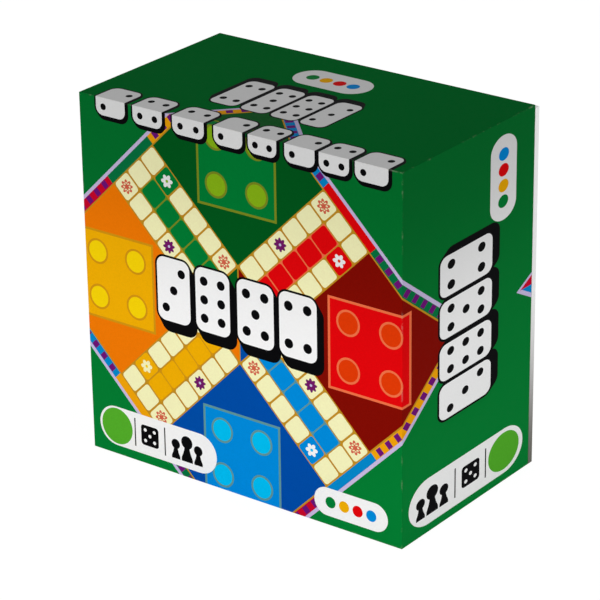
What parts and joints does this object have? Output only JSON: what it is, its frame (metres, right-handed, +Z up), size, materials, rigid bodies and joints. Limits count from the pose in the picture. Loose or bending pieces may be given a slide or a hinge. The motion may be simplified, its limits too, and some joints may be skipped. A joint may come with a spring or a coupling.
{
  "type": "ludo board game box",
  "caption": "Square telescoping card box for a ludo set, lid and base, with a quarter-folding board, leaflet, formed tray, dice cup, dice and pawns.",
  "frame": {"origin": "middle of the footprint of the closed box, on the surface that it stands on", "axes": "+Z up, +X to the right of the lid's big face, -Y out of that face, so the lid comes off along -Y"},
  "size_m": [0.15, 0.0894, 0.15],
  "materials": {
    "greyboard": "raw grey millboard, matt",
    "printed_paper": "printed paper with a light varnish",
    "corner_paper": "gummed kraft paper, matt",
    "white_paper": "uncoated white paper",
    "leaflet_paper": "thin coated paper",
    "board_card": "greyboard with a black lined back, matt",
    "board_print": "printed paper with a light varnish",
    "hinge_cloth": "black book cloth",
    "tray_plastic": "vacuum formed white sheet, satin",
    "cup_plastic": "moulded black, satin",
    "die_plastic": "polished ivory white with black pips",
    "pawn_green": "glossy moulded",
    "pawn_yellow": "glossy moulded",
    "pawn_red": "glossy moulded",
    "pawn_blue": "glossy moulded"
  },
  "bodies": {
    "base": {"base_board": "greyboard", "base_wrap_back": "white_paper", "base_wrap_top": "white_paper", "base_wrap_bottom": "white_paper", "base_wrap_left": "white_paper", "base_wrap_right": "white_paper", "base_corner_tape_top_left": "corner_paper", "base_corner_tape_top_right": "corner_paper", "base_corner_tape_bottom_left": "corner_paper", "base_corner_tape_bottom_right": "corner_paper", "base_plate_board": "greyboard", "base_plate_wrap": "white_paper", "insert_tray": "tray_plastic", "insert_tray_cup_well": "tray_plastic", "insert_tray_dice_well": "tray_plastic", "insert_tray_well_green": "tray_plastic", "insert_tray_well_yellow": "tray_plastic", "insert_tray_well_red": "tray_plastic", "insert_tray_well_blue": "tray_plastic"},
    "lid": {"lid_board": "greyboard", "lid_wrap_front": "printed_paper", "lid_wrap_top": "printed_paper", "lid_wrap_bottom": "printed_paper", "lid_wrap_left": "printed_paper", "lid_wrap_right": "printed_paper", "lid_corner_tape_top_left": "corner_paper", "lid_corner_tape_top_right": "corner_paper", "lid_corner_tape_bottom_left": "corner_paper", "lid_corner_tape_bottom_right": "corner_paper"},
    "board_lower_left": {"board_panel_lower_left": "board_card", "board_print_lower_left": "board_print", "board_hinge_left": "hinge_cloth"},
    "board_upper_left": {"board_panel_upper_left": "board_card", "board_print_upper_left": "board_print", "board_hinge_middle": "hinge_cloth"},
    "board_upper_right": {"board_panel_upper_right": "board_card", "board_print_upper_right": "board_print", "board_hinge_right": "hinge_cloth"},
    "board_lower_right": {"board_panel_lower_right": "board_card", "board_print_lower_right": "board_print"},
    "leaflet": {"rules_leaflet": "leaflet_paper"},
    "cup": {"dice_cup": "cup_plastic"},
    "die_a": {"die_1": "die_plastic"},
    "die_b": {"die_2": "die_plastic"},
    "green_1": {"pawn_green_1": "pawn_green"},
    "green_2": {"pawn_green_2": "pawn_green"},
    "green_3": {"pawn_green_3": "pawn_green"},
    "green_4": {"pawn_green_4": "pawn_green"},
    "yellow_1": {"pawn_yellow_1": "pawn_yellow"},
    "yellow_2": {"pawn_yellow_2": "pawn_yellow"},
    "yellow_3": {"pawn_yellow_3": "pawn_yellow"},
    "yellow_4": {"pawn_yellow_4": "pawn_yellow"},
    "red_1": {"pawn_red_1": "pawn_red"},
    "red_2": {"pawn_red_2": "pawn_red"},
    "red_3": {"pawn_red_3": "pawn_red"},
    "red_4": {"pawn_red_4": "pawn_red"},
    "blue_1": {"pawn_blue_1": "pawn_blue"},
    "blue_2": {"pawn_blue_2": "pawn_blue"},
    "blue_3": {"pawn_blue_3": "pawn_blue"},
    "blue_4": {"pawn_blue_4": "pawn_blue"}
  },
  "joints": [
    {"name": "lid_slide", "type": "slide", "parent": "base", "child": "lid", "axis": [0, -1, 0], "range_m": [0, 0.8]},
    {"name": "board_slide", "type": "slide", "parent": "base", "child": "board_lower_left", "axis": [0, -1, 0], "range_m": [0, 0.18]},
    {"name": "fold_left", "type": "hinge", "parent": "board_lower_left", "child": "board_upper_left", "pos_m": [0, -0.03425, 0.13855], "axis": [-1, 0, 0], "range_deg": [0, 180]},
    {"name": "fold_middle", "type": "hinge", "parent": "board_upper_left", "child": "board_upper_right", "pos_m": [0.06665, -0.0371, 0.075], "axis": [0, 0, 1], "range_deg": [0, 180]},
    {"name": "fold_right", "type": "hinge", "parent": "board_upper_right", "child": "board_lower_right", "pos_m": [0, -0.03995, 0.13855], "axis": [-1, 0, 0], "range_deg": [0, 180]},
    {"name": "leaflet_slide", "type": "slide", "parent": "base", "child": "leaflet", "axis": [0, -1, 0], "range_m": [0, 0.13]},
    {"name": "cup_slide", "type": "slide", "parent": "base", "child": "cup", "axis": [0, -1, 0], "range_m": [0, 0.105]},
    {"name": "die_a_slide", "type": "slide", "parent": "base", "child": "die_a", "axis": [0, -1, 0], "range_m": [0, 0.05]},
    {"name": "die_b_slide", "type": "slide", "parent": "base", "child": "die_b", "axis": [0, -1, 0], "range_m": [0, 0.05]},
    {"name": "green_1_slide", "type": "slide", "parent": "base", "child": "green_1", "axis": [0, -1, 0], "range_m": [0, 0.06]},
    {"name": "green_2_slide", "type": "slide", "parent": "base", "child": "green_2", "axis": [0, -1, 0], "range_m": [0, 0.06]},
    {"name": "green_3_slide", "type": "slide", "parent": "base", "child": "green_3", "axis": [0, -1, 0], "range_m": [0, 0.06]},
    {"name": "green_4_slide", "type": "slide", "parent": "base", "child": "green_4", "axis": [0, -1, 0], "range_m": [0, 0.06]},
    {"name": "yellow_1_slide", "type": "slide", "parent": "base", "child": "yellow_1", "axis": [0, -1, 0], "range_m": [0, 0.06]},
    {"name": "yellow_2_slide", "type": "slide", "parent": "base", "child": "yellow_2", "axis": [0, -1, 0], "range_m": [0, 0.06]},
    {"name": "yellow_3_slide", "type": "slide", "parent": "base", "child": "yellow_3", "axis": [0, -1, 0], "range_m": [0, 0.06]},
    {"name": "yellow_4_slide", "type": "slide", "parent": "base", "child": "yellow_4", "axis": [0, -1, 0], "range_m": [0, 0.06]},
    {"name": "red_1_slide", "type": "slide", "parent": "base", "child": "red_1", "axis": [0, -1, 0], "range_m": [0, 0.06]},
    {"name": "red_2_slide", "type": "slide", "parent": "base", "child": "red_2", "axis": [0, -1, 0], "range_m": [0, 0.06]},
    {"name": "red_3_slide", "type": "slide", "parent": "base", "child": "red_3", "axis": [0, -1, 0], "range_m": [0, 0.06]},
    {"name": "red_4_slide", "type": "slide", "parent": "base", "child": "red_4", "axis": [0, -1, 0], "range_m": [0, 0.06]},
    {"name": "blue_1_slide", "type": "slide", "parent": "base", "child": "blue_1", "axis": [0, -1, 0], "range_m": [0, 0.06]},
    {"name": "blue_2_slide", "type": "slide", "parent": "base", "child": "blue_2", "axis": [0, -1, 0], "range_m": [0, 0.06]},
    {"name": "blue_3_slide", "type": "slide", "parent": "base", "child": "blue_3", "axis": [0, -1, 0], "range_m": [0, 0.06]},
    {"name": "blue_4_slide", "type": "slide", "parent": "base", "child": "blue_4", "axis": [0, -1, 0], "range_m": [0, 0.06]}
  ],
  "couplings": [
    {"joint": "board_slide", "follows": "lid_slide", "ratio": 0.22},
    {"joint": "fold_left", "follows": "lid_slide", "rad_per_m": 3.926},
    {"joint": "fold_middle", "follows": "lid_slide", "rad_per_m": 0.763},
    {"joint": "fold_right", "follows": "lid_slide", "rad_per_m": 0.436},
    {"joint": "leaflet_slide", "follows": "lid_slide", "ratio": 0.16},
    {"joint": "cup_slide", "follows": "lid_slide", "ratio": 0.13},
    {"joint": "die_a_slide", "follows": "lid_slide", "ratio": 0.06},
    {"joint": "die_b_slide", "follows": "lid_slide", "ratio": 0.06},
    {"joint": "green_1_slide", "follows": "lid_slide", "ratio": 0.07},
    {"joint": "green_2_slide", "follows": "lid_slide", "ratio": 0.07},
    {"joint": "green_3_slide", "follows": "lid_slide", "ratio": 0.07},
    {"joint": "green_4_slide", "follows": "lid_slide", "ratio": 0.07},
    {"joint": "yellow_1_slide", "follows": "lid_slide", "ratio": 0.07},
    {"joint": "yellow_2_slide", "follows": "lid_slide", "ratio": 0.07},
    {"joint": "yellow_3_slide", "follows": "lid_slide", "ratio": 0.07},
    {"joint": "yellow_4_slide", "follows": "lid_slide", "ratio": 0.07},
    {"joint": "red_1_slide", "follows": "lid_slide", "ratio": 0.07},
    {"joint": "red_2_slide", "follows": "lid_slide", "ratio": 0.07},
    {"joint": "red_3_slide", "follows": "lid_slide", "ratio": 0.07},
    {"joint": "red_4_slide", "follows": "lid_slide", "ratio": 0.07},
    {"joint": "blue_1_slide", "follows": "lid_slide", "ratio": 0.07},
    {"joint": "blue_2_slide", "follows": "lid_slide", "ratio": 0.07},
    {"joint": "blue_3_slide", "follows": "lid_slide", "ratio": 0.07},
    {"joint": "blue_4_slide", "follows": "lid_slide", "ratio": 0.07}
  ]
}
